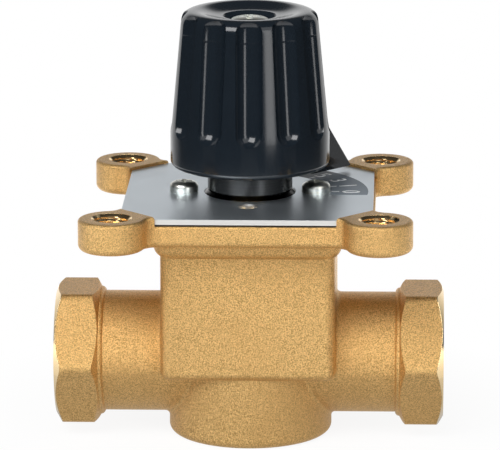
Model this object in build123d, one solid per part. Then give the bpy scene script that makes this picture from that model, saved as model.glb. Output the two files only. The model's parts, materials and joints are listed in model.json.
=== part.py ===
from build123d import *
from math import cos, radians, sin, sqrt, tan
import os

os.makedirs("parts", exist_ok=True)

# Three-way mixing valve with a hand knob. Millimetres, +Z up along the stem.
# The origin is the centre of the foot of the round boss under the chamber.
# The outlet port points along +Y, the two inlet ports along -X and +X.

# Running and assembly clearances, radial or axial
STEM_CLEARANCE = 0.06
ROTOR_CLEARANCE = 0.2
AXIAL_PLAY = 0.1
SPIGOT_CLEARANCE = 0.05
REGISTER_CLEARANCE = 0.15
SEAL_CLEARANCE = 0.15
THREAD_CLEARANCE = 0.03
SCREW_HOLE_CLEARANCE = 0.25
DRIVE_CLEARANCE = 0.05
PLATE_NEST_CLEARANCE = 0.5
SCREW_END_GAP = 2.0

# Ports: female pipe thread in a hexagon end on a round neck
PORT_ANGLES = (0, 90, 180)
PORT_Z = 23.0
PORT_REACH = 55.6
THREAD_D = 33.25
THREAD_DEPTH = 13.0
THREAD_MOUTH_CHAMFER = 0.9
THREAD_RUNOUT_DEG = 60.0
FLOW_D = 25.0
HEX_ACROSS_FLATS = 38.0
HEX_LENGTH = 12.6
HEX_CORNER_R = 2.8
HEX_CHAMFER_DEG = 30.0
HEX_OUTER_SETBACK = 0.7
HEX_INNER_SETBACK = 0.5
NECK_WALL = 0.675
NECK_D = THREAD_D + 2 * NECK_WALL
NECK_BLEND_R = 1.6

# Round boss and square block round the chamber
BLOCK_WIDTH = 49.4
BLOCK_CORNER_R = 3.0
BLOCK_FOOT_Z = 20.4
BLOCK_FOOT_R = 2.2
BOSS_INSET = 1.3
BOSS_FOOT_R = 2.0
LEDGE_OVERHANG = 1.9
LEDGE_CORNER_R = 6.0
LEDGE_HEIGHT = 6.1
LEDGE_EDGE_R = 3.5
JUNCTION_BLEND_R = 1.5

# Flange with four lugs
FLANGE_BOTTOM_Z = 62.1
FLANGE_THICKNESS = 6.2
FLANGE_WIDTH = 71.7
FLANGE_EDGE_R = 0.6
FLANGE_FOOT_R = 1.8
LUG_OUTSET = 1.35
LUG_R = 9.5
LUG_HOLE_D = 10.0
LUG_HOLE_CHAMFER = 0.7
LUG_HEIGHT = 9.0
LUG_BLEND_R = 4.0
LUG_EDGE_R = 1.0

# Chamber
CHAMBER_D = 37.0
CHAMBER_FLOOR_Z = 5.5
PIVOT_D = 8.0
PIVOT_LENGTH = 2.4
PIVOT_END_GAP = 0.4

# Cover
COVER_D = 58.0
COVER_FLANGE_THICKNESS = 4.0
COVER_SPIGOT_BOTTOM_Z = 43.5
COVER_BOSS_D = 25.9
COVER_BOSS_RISE = 0.9
COVER_BOSS_CHAMFER = 0.9
COVER_SEAL_SECTION = 2.9
COVER_SEAL_DROP = 5.0
COVER_SCREW_D = 4.0
COVER_SCREW_HEAD_D = 8.0
COVER_SCREW_LENGTH = 12.0
COVER_SCREW_PCD = 48.0

# Stem and its seals
STEM_D = 12.0
STEM_SEAL_SECTION = 2.5
STEM_SEAL_DROPS = (9.0, 15.0)
DRIVE_D = 9.0
DRIVE_FLAT_DEPTH = 1.4

# Rotor
ROTOR_DISC_THICKNESS = 4.0
ROTOR_FOOT_THICKNESS = 2.4
ROTOR_SHOE_WALL = 3.0
ROTOR_SHOE_DEG = 178.0
WASHER_THICKNESS = 1.0
WASHER_D = 22.0
STOP_LUG_DEG = 14.0
STOP_LUG_HEIGHT = 2.6
STOP_LUG_INNER_R = 12.5
STOP_LUG_OUTER_R = 16.5
STOP_MARGIN_DEG = 1.2
STOP_POCKET_GAP = 0.4
TURN_DEG = 90.0

# Scale plate and the gasket under it
GASKET_THICKNESS = 0.5
GASKET_INSET = 0.3
PLATE_INSET = 0.5
PLATE_CORNER_CHAMFER = 10.0
PLATE_THICKNESS = 1.5
PLATE_SCREW_D = 4.0
PLATE_SCREW_HEAD_D = 8.2
PLATE_SCREW_HEAD_H = 3.1
PLATE_SCREW_LENGTH = 5.0
PLATE_SCREW_PCD = 37.8
PLATE_HOLE_D = 5.0
PLATE_HOLE_ROUNDING = 0.4
COVER_TAPPED_DEPTH = 3.5

# Sleeve on the stem
SLEEVE_D = 24.2
SLEEVE_GAP = 0.1
SLEEVE_HEIGHT = 14.7
SLEEVE_EDGE_CHAMFER = 0.4

# Knob
KNOB_HEIGHT = 44.6
KNOB_SKIRT_GAP = 8.1
KNOB_SKIRT_R = 22.7
KNOB_SKIRT_HEIGHT = 10.0
KNOB_SKIRT_EDGE_R = 1.5
KNOB_SHOULDER_R = 19.85
KNOB_SHOULDER_DROP = 3.6
KNOB_RIDGE_R = 15.4
KNOB_DISH_DEPTH = 1.5
KNOB_WELL_D = 15.3
KNOB_WALL = 4.4
KNOB_ROOF = 9.0
KNOB_HUB_D = 22.0
KNOB_RIB_THICKNESS = 1.8
KNOB_RIB_COUNT = 6
KNOB_RIB_DROP = 12.0
FLUTE_COUNT = 12
FLUTE_WIDTH = 7.6
FLUTE_CUTTER_R = 4.3
FLUTE_BOTTOM_Z = 9.6
FLUTE_TOP_DROP = 2.6

# Share of a screw head's height taken by its cross
SCREW_RECESS_SHARE = 0.55

# Knob screw and washer
KNOB_SCREW_D = 6.0
KNOB_SCREW_HEAD_D = 12.0
KNOB_SCREW_HEAD_H = 3.9
KNOB_SCREW_LENGTH = 16.0
KNOB_SCREW_HEAD_SINK = 0.2
KNOB_WASHER_D = 14.0
KNOB_WASHER_THICKNESS = 1.2
KNOB_WEB = 3.0

# Pointer moulded on the knob's skirt
POINTER_REST_DEG = 46.5
POINTER_TIP_R = 40.0
POINTER_INNER_R = 23.8
POINTER_GAP = 1.3
POINTER_THICKNESS = 2.5
POINTER_SLOPE_DEG = 54.5

# Levels that follow from the sizes above
FLANGE_TOP_Z = FLANGE_BOTTOM_Z + FLANGE_THICKNESS
LEDGE_BOTTOM_Z = FLANGE_BOTTOM_Z - LEDGE_HEIGHT
LUG_TOP_Z = FLANGE_BOTTOM_Z + LUG_HEIGHT
COVER_SEAT_Z = FLANGE_TOP_Z - COVER_FLANGE_THICKNESS
PLATE_BOTTOM_Z = FLANGE_TOP_Z + GASKET_THICKNESS
PLATE_TOP_Z = PLATE_BOTTOM_Z + PLATE_THICKNESS
COVER_BOSS_TOP_Z = PLATE_TOP_Z + COVER_BOSS_RISE
SLEEVE_BOTTOM_Z = COVER_BOSS_TOP_Z + SLEEVE_GAP
SLEEVE_TOP_Z = SLEEVE_BOTTOM_Z + SLEEVE_HEIGHT
KNOB_BOTTOM_Z = PLATE_TOP_Z + KNOB_SKIRT_GAP
KNOB_TOP_Z = KNOB_BOTTOM_Z + KNOB_HEIGHT
KNOB_WELL_RIM_Z = KNOB_TOP_Z - KNOB_DISH_DEPTH
KNOB_SCREW_SEAT_Z = KNOB_WELL_RIM_Z - KNOB_SCREW_HEAD_SINK - KNOB_SCREW_HEAD_H
KNOB_WASHER_BOTTOM_Z = KNOB_SCREW_SEAT_Z - KNOB_WASHER_THICKNESS
STEM_TOP_Z = KNOB_WASHER_BOTTOM_Z - KNOB_WEB - DRIVE_CLEARANCE
UPPER_WASHER_BOTTOM_Z = COVER_SPIGOT_BOTTOM_Z - WASHER_THICKNESS
ROTOR_TOP_Z = UPPER_WASHER_BOTTOM_Z - AXIAL_PLAY
ROTOR_BOTTOM_Z = CHAMBER_FLOOR_Z + WASHER_THICKNESS

# Widths and radii that follow from the sizes above
BOSS_D = BLOCK_WIDTH - 2 * BOSS_INSET
LEDGE_WIDTH = BLOCK_WIDTH + 2 * LEDGE_OVERHANG
LUG_PITCH = FLANGE_WIDTH + 2 * LUG_OUTSET
PLATE_WIDTH = FLANGE_WIDTH - 2 * PLATE_INSET
CHAMBER_R = CHAMBER_D / 2
STEM_R = STEM_D / 2
ROTOR_R = CHAMBER_R - ROTOR_CLEARANCE
SPIGOT_R = CHAMBER_R - SPIGOT_CLEARANCE
REGISTER_HOLE_D = COVER_BOSS_D + 2 * REGISTER_CLEARANCE
LUG_PLACES = [(x, y) for x in (-LUG_PITCH / 2, LUG_PITCH / 2) for y in (-LUG_PITCH / 2, LUG_PITCH / 2)]
DIAGONALS = (45, 135, 225, 315)
QUARTERS = (0, 90, 180, 270)
# At rest the shoe's middle is this far round from +X, opposite the outlet at mid-scale
SHOE_REST_DEG = POINTER_REST_DEG - TURN_DEG / 2 - 90


def turned(outline):
    """Solid turned about +Z from (radius, height) corners."""
    return revolve(Plane.XZ * make_face(Polyline(outline, close=True)), Axis.Z)


def disc(radius, bottom, top):
    """Round disc or shaft standing on the stem axis."""
    return Pos(0, 0, bottom) * extrude(Circle(radius), top - bottom)


def ring(outer_radius, inner_radius, bottom, top):
    """Flat ring round the stem axis."""
    return Pos(0, 0, bottom) * extrude(Circle(outer_radius) - Circle(inner_radius), top - bottom)


def o_ring(mean_radius, section, level):
    """Round-section seal round the stem axis."""
    return Pos(0, 0, level) * Torus(mean_radius, section / 2)


def sector(inner_radius, outer_radius, middle_deg, span_deg, bottom, top):
    """Piece of a ring between two radii and two angles."""
    reach = outer_radius * 2
    half = radians(span_deg / 2)
    wedge_points = [(0, 0)]
    steps = 6
    for i in range(steps + 1):
        a = -half + 2 * half * i / steps
        wedge_points.append((reach * cos(a), reach * sin(a)))
    wedge = make_face(Polyline(wedge_points, close=True))
    outline = (Circle(outer_radius) - Circle(inner_radius)) & wedge
    return Pos(0, 0, bottom) * Rot(0, 0, middle_deg) * extrude(outline, top - bottom)


def on_pitch_circle(piece, diameter, angles):
    """Copies of a piece spaced round the stem axis."""
    return [Rot(0, 0, a) * Pos(diameter / 2, 0, 0) * piece for a in angles]


def cross_recess(width, length, depth):
    """Tapered cross cut downwards from the origin."""
    bar = Rectangle(length, width) + Rectangle(width, length)
    return extrude(bar, -depth, taper=12)


def pan_screw(diameter, length, head_d, head_h):
    """Cross-recess pan-head screw, the underside of its head at the origin."""
    rim = 0.42 * head_h
    crown_r = 0.3 * head_d
    head_profile = make_face(
        Polyline((0, head_h), (0, 0), (head_d / 2, 0), (head_d / 2, rim))
        + Bezier((head_d / 2, rim), (head_d / 2, 0.9 * head_h), (crown_r, head_h), (0, head_h))
    )
    head = revolve(Plane.XZ * head_profile, Axis.Z)
    tip = diameter / 8
    shank = turned([
        (0, 0), (diameter / 2, 0), (diameter / 2, tip - length),
        (diameter / 2 - tip, -length), (0, -length),
    ])
    cross = Pos(0, 0, head_h) * cross_recess(0.14 * head_d, 0.56 * head_d, SCREW_RECESS_SHARE * head_h)
    return head + shank - cross


def countersunk_screw(diameter, length, head_d):
    """Cross-recess countersunk screw, its flat top at the origin."""
    cone = (head_d - diameter) / 2
    body = turned([
        (0, 0), (head_d / 2, 0), (diameter / 2, -cone), (diameter / 2, -length), (0, -length),
    ])
    return body - cross_recess(0.14 * head_d, 0.56 * head_d, 0.6 * cone)


def octagon(width, corner_chamfer):
    """Square sheet outline with its corners cut off."""
    return chamfer(Rectangle(width, width).vertices(), corner_chamfer)


def hexagon_end():
    """One port end along +X: neck, blended shoulder and a hexagon with turned corners."""
    flat_r = HEX_ACROSS_FLATS / 2
    corner_r = flat_r / cos(radians(30)) + 1
    slope = tan(radians(HEX_CHAMFER_DEG))
    outer_r = flat_r - HEX_OUTER_SETBACK
    inner_r = flat_r - HEX_INNER_SETBACK
    inner_x = PORT_REACH - HEX_LENGTH
    envelope = [
        (0, inner_x), (inner_r, inner_x), (corner_r, inner_x + (corner_r - inner_r) * slope),
        (corner_r, PORT_REACH - (corner_r - outer_r) * slope), (outer_r, PORT_REACH), (0, PORT_REACH),
    ]
    hexagon = fillet(RegularPolygon(flat_r, 6, major_radius=False).vertices(), HEX_CORNER_R)
    nut = Rot(0, 0, 30) * extrude(hexagon, PORT_REACH) & turned(envelope)
    neck_r = NECK_D / 2
    blend = min(NECK_BLEND_R, inner_r - neck_r)
    shoulder_profile = make_face(
        Polyline((neck_r, inner_x - blend), (neck_r - 1, inner_x - blend), (neck_r - 1, inner_x + 1),
                 (neck_r + blend, inner_x + 1), (neck_r + blend, inner_x))
        + RadiusArc((neck_r + blend, inner_x), (neck_r, inner_x - blend), blend)
    )
    shoulder = revolve(Plane.XZ * shoulder_profile, Axis.Z)
    neck = extrude(Circle(neck_r), inner_x + 1)
    return Pos(0, 0, PORT_Z) * Rot(0, 90, 0) * (neck + shoulder + nut)


def port_bore():
    """Hollow of one port along +X: lead-in, thread bore, run-out and flow bore."""
    thread_r = THREAD_D / 2
    flow_r = FLOW_D / 2
    thread_end = PORT_REACH - THREAD_DEPTH
    runout = (thread_r - flow_r) / tan(radians(THREAD_RUNOUT_DEG))
    outline = [
        (0, 0), (flow_r, 0), (flow_r, thread_end - runout), (thread_r, thread_end),
        (thread_r, PORT_REACH - THREAD_MOUTH_CHAMFER),
        (thread_r + THREAD_MOUTH_CHAMFER, PORT_REACH), (0, PORT_REACH),
    ]
    return Pos(0, 0, PORT_Z) * Rot(0, 90, 0) * turned(outline)


def lug_hole():
    """Chamfered hole through one lug, at the origin's axis."""
    hole_r = LUG_HOLE_D / 2
    mouth_r = hole_r + LUG_HOLE_CHAMFER
    return turned([
        (0, FLANGE_BOTTOM_Z), (mouth_r, FLANGE_BOTTOM_Z), (hole_r, FLANGE_BOTTOM_Z + LUG_HOLE_CHAMFER),
        (hole_r, LUG_TOP_Z - LUG_HOLE_CHAMFER), (mouth_r, LUG_TOP_Z), (0, LUG_TOP_Z),
    ])


def flange_and_lugs():
    """Square flange whose corners grow into four lugs that stand above the plate's edge."""
    outline = Rectangle(FLANGE_WIDTH, FLANGE_WIDTH) + [Pos(x, y) * Circle(LUG_R) for x, y in LUG_PLACES]
    outline = fillet(outline.vertices(), LUG_BLEND_R)
    nest = (PLATE_WIDTH - PLATE_CORNER_CHAMFER) / sqrt(2) + PLATE_NEST_CLEARANCE
    field = Pos(nest + FLANGE_WIDTH / 2, 0) * Rectangle(FLANGE_WIDTH, FLANGE_WIDTH)
    slab = Pos(0, 0, FLANGE_BOTTOM_Z) * extrude(outline, FLANGE_THICKNESS)
    slab = fillet(slab.faces().sort_by(Axis.Z)[0].edges(), FLANGE_FOOT_R)
    slab = fillet(slab.faces().sort_by(Axis.Z)[-1].edges(), FLANGE_EDGE_R)
    lug_foot_z = FLANGE_BOTTOM_Z + FLANGE_FOOT_R
    lugs = []
    for angle in DIAGONALS:
        corner = outline & (Rot(0, 0, angle) * field)
        lug = Pos(0, 0, lug_foot_z) * extrude(corner, LUG_TOP_Z - lug_foot_z)
        rim = lug.faces().sort_by(Axis.Z)[-1].edges().filter_by(GeomType.CIRCLE)
        lugs.append(fillet(rim, LUG_EDGE_R))
    return slab + lugs


def junction_edges(core):
    """Where the necks run into the block's walls, into the boss and into each other."""
    wall = BLOCK_WIDTH / 2
    on_walls = [
        edge for edge in core.edges().filter_by(GeomType.CIRCLE)
        if abs(edge.radius - NECK_D / 2) < 0.01 and edge.length > NECK_D
        and abs(max(abs(edge.center().X), abs(edge.center().Y)) - wall) < 0.05
    ]
    under_block = [
        edge for edge in core.edges().filter_by(GeomType.BSPLINE) + core.edges().filter_by(GeomType.ELLIPSE)
        if edge.center().Z < BLOCK_FOOT_Z - 0.5 and max(abs(edge.center().X), abs(edge.center().Y)) < wall
    ]
    return on_walls + under_block


def valve_body():
    """One brass casting: boss, block, ledge, flange, lugs and three ports, then machined."""
    boss = disc(BOSS_D / 2, 0, BLOCK_FOOT_Z + BLOCK_FOOT_R)
    boss = fillet(boss.faces().sort_by(Axis.Z)[0].edges(), BOSS_FOOT_R)
    block = Pos(0, 0, BLOCK_FOOT_Z) * extrude(
        RectangleRounded(BLOCK_WIDTH, BLOCK_WIDTH, BLOCK_CORNER_R), FLANGE_BOTTOM_Z - BLOCK_FOOT_Z)
    block = fillet(block.faces().sort_by(Axis.Z)[0].edges(), BLOCK_FOOT_R)
    ledge = Pos(0, 0, LEDGE_BOTTOM_Z) * extrude(
        RectangleRounded(LEDGE_WIDTH, LEDGE_WIDTH, LEDGE_CORNER_R), LEDGE_HEIGHT)
    ledge = fillet(ledge.faces().sort_by(Axis.Z)[0].edges(), min(LEDGE_EDGE_R, 0.9 * LEDGE_HEIGHT))
    ports = [Rot(0, 0, a) * hexagon_end() for a in PORT_ANGLES]
    core = boss + block + ports
    flat_beside_neck = (BLOCK_WIDTH - NECK_D) / 2 - BLOCK_CORNER_R
    core = fillet(junction_edges(core), min(JUNCTION_BLEND_R, 0.9 * flat_beside_neck))
    casting = core + ledge + flange_and_lugs()
    chamber = disc(CHAMBER_R, CHAMBER_FLOOR_Z, FLANGE_TOP_Z)
    counterbore = disc(COVER_D / 2 + SPIGOT_CLEARANCE, COVER_SEAT_Z, FLANGE_TOP_Z)
    pivot_bottom = CHAMBER_FLOOR_Z - PIVOT_LENGTH - PIVOT_END_GAP
    pivot_hole = disc(PIVOT_D / 2 + STEM_CLEARANCE, pivot_bottom, CHAMBER_FLOOR_Z)
    bores = [Rot(0, 0, a) * port_bore() for a in PORT_ANGLES]
    screw_bottom = FLANGE_TOP_Z - COVER_SCREW_LENGTH - SCREW_END_GAP
    screw_hole = disc(COVER_SCREW_D / 2 + THREAD_CLEARANCE, screw_bottom, FLANGE_TOP_Z)
    screw_holes = on_pitch_circle(screw_hole, COVER_SCREW_PCD, DIAGONALS)
    lug_holes = [Pos(x, y, 0) * lug_hole() for x, y in LUG_PLACES]
    return casting - chamber - counterbore - pivot_hole - bores - screw_holes - lug_holes


def cover():
    """Turned brass cover: flange, spigot with a seal groove, stem bore and stop pocket."""
    seal_z = COVER_SEAT_Z - COVER_SEAL_DROP
    groove_half = COVER_SEAL_SECTION / 2 + SEAL_CLEARANCE
    groove_r = SPIGOT_R - COVER_SEAL_SECTION - SEAL_CLEARANCE
    boss_r = COVER_BOSS_D / 2
    outline = [
        (0, COVER_SPIGOT_BOTTOM_Z), (SPIGOT_R, COVER_SPIGOT_BOTTOM_Z),
        (SPIGOT_R, seal_z - groove_half), (groove_r, seal_z - groove_half),
        (groove_r, seal_z + groove_half), (SPIGOT_R, seal_z + groove_half),
        (SPIGOT_R, COVER_SEAT_Z), (COVER_D / 2, COVER_SEAT_Z), (COVER_D / 2, FLANGE_TOP_Z),
        (boss_r, FLANGE_TOP_Z), (boss_r, COVER_BOSS_TOP_Z - COVER_BOSS_CHAMFER),
        (boss_r - COVER_BOSS_CHAMFER, COVER_BOSS_TOP_Z), (0, COVER_BOSS_TOP_Z),
    ]
    stem_bore = disc(STEM_R + STEM_CLEARANCE, COVER_SPIGOT_BOTTOM_Z, COVER_BOSS_TOP_Z)
    seal_half = STEM_SEAL_SECTION / 2 + SEAL_CLEARANCE
    seal_outer = STEM_R + STEM_SEAL_SECTION + 2 * SEAL_CLEARANCE
    grooves = [
        ring(seal_outer, STEM_R, COVER_BOSS_TOP_Z - drop - seal_half, COVER_BOSS_TOP_Z - drop + seal_half)
        for drop in STEM_SEAL_DROPS
    ]
    pocket = sector(
        STOP_LUG_INNER_R - STOP_POCKET_GAP, STOP_LUG_OUTER_R + STOP_POCKET_GAP, -90,
        TURN_DEG + STOP_LUG_DEG + 2 * STOP_MARGIN_DEG, COVER_SPIGOT_BOTTOM_Z,
        ROTOR_TOP_Z + STOP_LUG_HEIGHT + STOP_POCKET_GAP)
    tapped = disc(PLATE_SCREW_D / 2 + THREAD_CLEARANCE, FLANGE_TOP_Z - COVER_TAPPED_DEPTH, FLANGE_TOP_Z)
    shank_r = COVER_SCREW_D / 2 + SCREW_HOLE_CLEARANCE
    head_r = COVER_SCREW_HEAD_D / 2 + THREAD_CLEARANCE
    sink = turned([
        (0, COVER_SEAT_Z), (shank_r, COVER_SEAT_Z), (shank_r, FLANGE_TOP_Z - (head_r - shank_r)),
        (head_r, FLANGE_TOP_Z), (0, FLANGE_TOP_Z),
    ])
    tapped_holes = on_pitch_circle(tapped, PLATE_SCREW_PCD, QUARTERS)
    sinks = on_pitch_circle(sink, COVER_SCREW_PCD, DIAGONALS)
    return turned(outline) - stem_bore - grooves - pocket - tapped_holes - sinks


def plate_holes(thickness, bottom):
    """Centre hole and four small holes through the plate or its gasket."""
    centre = disc(REGISTER_HOLE_D / 2, bottom, bottom + thickness)
    small = disc(PLATE_HOLE_D / 2, bottom, bottom + thickness)
    return [centre] + on_pitch_circle(small, PLATE_SCREW_PCD, QUARTERS)


def scale_plate():
    """Punched sheet with its corners cut off and a rolled edge round each small hole."""
    sheet = Pos(0, 0, PLATE_BOTTOM_Z) * extrude(octagon(PLATE_WIDTH, PLATE_CORNER_CHAMFER), PLATE_THICKNESS)
    mouth_r = PLATE_HOLE_D / 2 + PLATE_HOLE_ROUNDING
    mouth = turned([
        (0, PLATE_TOP_Z - PLATE_HOLE_ROUNDING), (PLATE_HOLE_D / 2, PLATE_TOP_Z - PLATE_HOLE_ROUNDING),
        (mouth_r, PLATE_TOP_Z), (0, PLATE_TOP_Z),
    ])
    mouths = on_pitch_circle(mouth, PLATE_SCREW_PCD, QUARTERS)
    return sheet - plate_holes(PLATE_THICKNESS, PLATE_BOTTOM_Z) - mouths


def plate_gasket():
    """Thin sheet seal under the plate."""
    outline = octagon(PLATE_WIDTH - 2 * GASKET_INSET, PLATE_CORNER_CHAMFER)
    sheet = Pos(0, 0, FLANGE_TOP_Z) * extrude(outline, GASKET_THICKNESS)
    return sheet - plate_holes(GASKET_THICKNESS, FLANGE_TOP_Z)


def rotor():
    """Brass rotor: pivot, foot, half-round shoe, disc with a stop lug, and the stem."""
    shoe_inner = ROTOR_R - ROTOR_SHOE_WALL
    foot_top = ROTOR_BOTTOM_Z + AXIAL_PLAY + ROTOR_FOOT_THICKNESS
    disc_bottom = ROTOR_TOP_Z - ROTOR_DISC_THICKNESS
    pivot = disc(PIVOT_D / 2, CHAMBER_FLOOR_Z - PIVOT_LENGTH, foot_top)
    foot = sector(0.5, ROTOR_R, SHOE_REST_DEG, ROTOR_SHOE_DEG, ROTOR_BOTTOM_Z + AXIAL_PLAY, foot_top)
    collar = disc(WASHER_D / 2, ROTOR_BOTTOM_Z + AXIAL_PLAY, foot_top)
    shoe = sector(shoe_inner, ROTOR_R, SHOE_REST_DEG, ROTOR_SHOE_DEG, foot_top, disc_bottom)
    top_disc = disc(ROTOR_R, disc_bottom, ROTOR_TOP_Z)
    lug = sector(STOP_LUG_INNER_R, STOP_LUG_OUTER_R, SHOE_REST_DEG, STOP_LUG_DEG,
                 ROTOR_TOP_Z, ROTOR_TOP_Z + STOP_LUG_HEIGHT)
    stem = disc(STEM_R, ROTOR_TOP_Z, SLEEVE_TOP_Z)
    drive = disc(DRIVE_D / 2, SLEEVE_TOP_Z, STEM_TOP_Z) - drive_flat(0)
    tapped_bottom = KNOB_SCREW_SEAT_Z - KNOB_SCREW_LENGTH - SCREW_END_GAP
    tapped = disc(KNOB_SCREW_D / 2 + THREAD_CLEARANCE, tapped_bottom, STEM_TOP_Z)
    return pivot + foot + collar + shoe + top_disc + lug + stem + drive - tapped


def drive_flat(clearance):
    """What the flat on the stem's drive end takes away, facing the pointer."""
    width = 2 * DRIVE_D
    face = DRIVE_D / 2 - DRIVE_FLAT_DEPTH + clearance
    return Rot(0, 0, POINTER_REST_DEG) * Pos(face + width / 2, 0, (SLEEVE_TOP_Z + KNOB_TOP_Z) / 2) * Box(
        width, width, KNOB_TOP_Z - SLEEVE_TOP_Z)


def thrust_washer(bottom, inner_radius):
    """Plain slippery washer round the stem or the pivot."""
    return ring(WASHER_D / 2, inner_radius, bottom, bottom + WASHER_THICKNESS)


def stem_sleeve():
    """Black turned sleeve that fills the gap between the cover and the knob."""
    outer = SLEEVE_D / 2
    edge = SLEEVE_EDGE_CHAMFER
    inner = STEM_R + SCREW_HOLE_CLEARANCE
    return turned([
        (inner, SLEEVE_BOTTOM_Z), (outer - edge, SLEEVE_BOTTOM_Z), (outer, SLEEVE_BOTTOM_Z + edge),
        (outer, SLEEVE_TOP_Z - edge), (outer - edge, SLEEVE_TOP_Z), (inner, SLEEVE_TOP_Z),
    ])


def knob_radius(level):
    """Outside radius of the grip at a height: an upright skirt, then a straight taper."""
    taper_height = KNOB_HEIGHT - KNOB_SHOULDER_DROP - KNOB_SKIRT_HEIGHT
    share = (level - KNOB_BOTTOM_Z - KNOB_SKIRT_HEIGHT) / taper_height
    return KNOB_SKIRT_R + (KNOB_SHOULDER_R - KNOB_SKIRT_R) * max(share, 0)


def flute_cutter():
    """Round cutter with ball ends, laid along the taper on the +X side."""
    def axis_radius(level):
        surface = sqrt(knob_radius(level) ** 2 - (FLUTE_WIDTH / 2) ** 2)
        return surface + sqrt(FLUTE_CUTTER_R ** 2 - (FLUTE_WIDTH / 2) ** 2)

    low = KNOB_BOTTOM_Z + FLUTE_BOTTOM_Z + FLUTE_WIDTH / 2
    high = KNOB_TOP_Z - FLUTE_TOP_DROP - FLUTE_WIDTH / 2
    start = Vector(axis_radius(low), 0, low)
    end = Vector(axis_radius(high), 0, high)
    lean = Plane(origin=start, z_dir=end - start)
    rod = lean * extrude(Circle(FLUTE_CUTTER_R), (end - start).length)
    return rod + Pos(start) * Sphere(FLUTE_CUTTER_R) + Pos(end) * Sphere(FLUTE_CUTTER_R)


def knob():
    """Moulded grip: tapered, fluted and dished outside, hub and ribs inside, with its pointer."""
    shoulder_z = KNOB_TOP_Z - KNOB_SHOULDER_DROP
    skirt_top_z = KNOB_BOTTOM_Z + KNOB_SKIRT_HEIGHT
    well_r = KNOB_WELL_D / 2
    edge_z = KNOB_BOTTOM_Z + KNOB_SKIRT_EDGE_R
    inner_bottom_r = KNOB_SKIRT_R - KNOB_WALL
    roof_z = KNOB_TOP_Z - KNOB_ROOF
    inner_top_r = knob_radius(roof_z) - KNOB_WALL
    hub_r = KNOB_HUB_D / 2
    crown = Bezier(
        (KNOB_SHOULDER_R, shoulder_z), (KNOB_SHOULDER_R - 0.2, KNOB_TOP_Z - 0.8),
        (KNOB_RIDGE_R + 2.4, KNOB_TOP_Z), (KNOB_RIDGE_R, KNOB_TOP_Z))
    dish = Bezier(
        (KNOB_RIDGE_R, KNOB_TOP_Z), (KNOB_RIDGE_R - 2.2, KNOB_TOP_Z),
        (well_r + 3.0, KNOB_WELL_RIM_Z + 0.1), (well_r, KNOB_WELL_RIM_Z))
    skirt_edge = RadiusArc(
        (KNOB_SKIRT_R - KNOB_SKIRT_EDGE_R, KNOB_BOTTOM_Z), (KNOB_SKIRT_R, edge_z), -KNOB_SKIRT_EDGE_R)
    outline = make_face(
        Polyline((well_r, KNOB_WELL_RIM_Z), (well_r, KNOB_WASHER_BOTTOM_Z), (0, KNOB_WASHER_BOTTOM_Z),
                 (0, SLEEVE_TOP_Z), (hub_r, SLEEVE_TOP_Z), (hub_r, roof_z), (inner_top_r, roof_z),
                 (inner_bottom_r, KNOB_BOTTOM_Z), (KNOB_SKIRT_R - KNOB_SKIRT_EDGE_R, KNOB_BOTTOM_Z))
        + skirt_edge
        + Polyline((KNOB_SKIRT_R, edge_z), (KNOB_SKIRT_R, skirt_top_z), (KNOB_SHOULDER_R, shoulder_z))
        + crown
        + dish
    )
    shell = revolve(Plane.XZ * outline, Axis.Z)
    flutes = [Rot(0, 0, POINTER_REST_DEG + (i + 0.5) * 360 / FLUTE_COUNT) * flute_cutter()
              for i in range(FLUTE_COUNT)]
    rib_low = SLEEVE_TOP_Z + KNOB_RIB_DROP
    rib_outer = knob_radius(rib_low) - KNOB_WALL / 2
    rib = Pos((hub_r + rib_outer) / 2 - 0.5, 0, (rib_low + roof_z) / 2) * Box(
        rib_outer - hub_r + 1, KNOB_RIB_THICKNESS, roof_z - rib_low)
    envelope = disc(inner_top_r + KNOB_WALL / 2, rib_low, roof_z)
    ribs = [Rot(0, 0, POINTER_REST_DEG + i * 360 / KNOB_RIB_COUNT) * (rib & envelope)
            for i in range(KNOB_RIB_COUNT)]
    drive_r = DRIVE_D / 2 + DRIVE_CLEARANCE
    drive_hole = disc(drive_r, SLEEVE_TOP_Z, STEM_TOP_Z + DRIVE_CLEARANCE) - drive_flat(DRIVE_CLEARANCE)
    screw_hole = disc(KNOB_SCREW_D / 2 + SCREW_HOLE_CLEARANCE, STEM_TOP_Z, KNOB_WASHER_BOTTOM_Z)
    return shell - flutes + ribs + pointer() - drive_hole - screw_hole


def pointer():
    """Flat triangular blade that hangs from the skirt and reaches over the scale."""
    tip_z = PLATE_TOP_Z + POINTER_GAP
    root_r = KNOB_SKIRT_R - KNOB_WALL / 2
    root_top_z = tip_z + (POINTER_TIP_R - root_r) * tan(radians(POINTER_SLOPE_DEG))
    blade = make_face(Polyline(
        (POINTER_INNER_R, tip_z), (POINTER_TIP_R, tip_z), (root_r, root_top_z),
        (root_r, KNOB_BOTTOM_Z + KNOB_SKIRT_EDGE_R), close=True))
    solid = extrude(Plane.XZ * blade, POINTER_THICKNESS / 2, both=True)
    return Rot(0, 0, POINTER_REST_DEG) * solid


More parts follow.
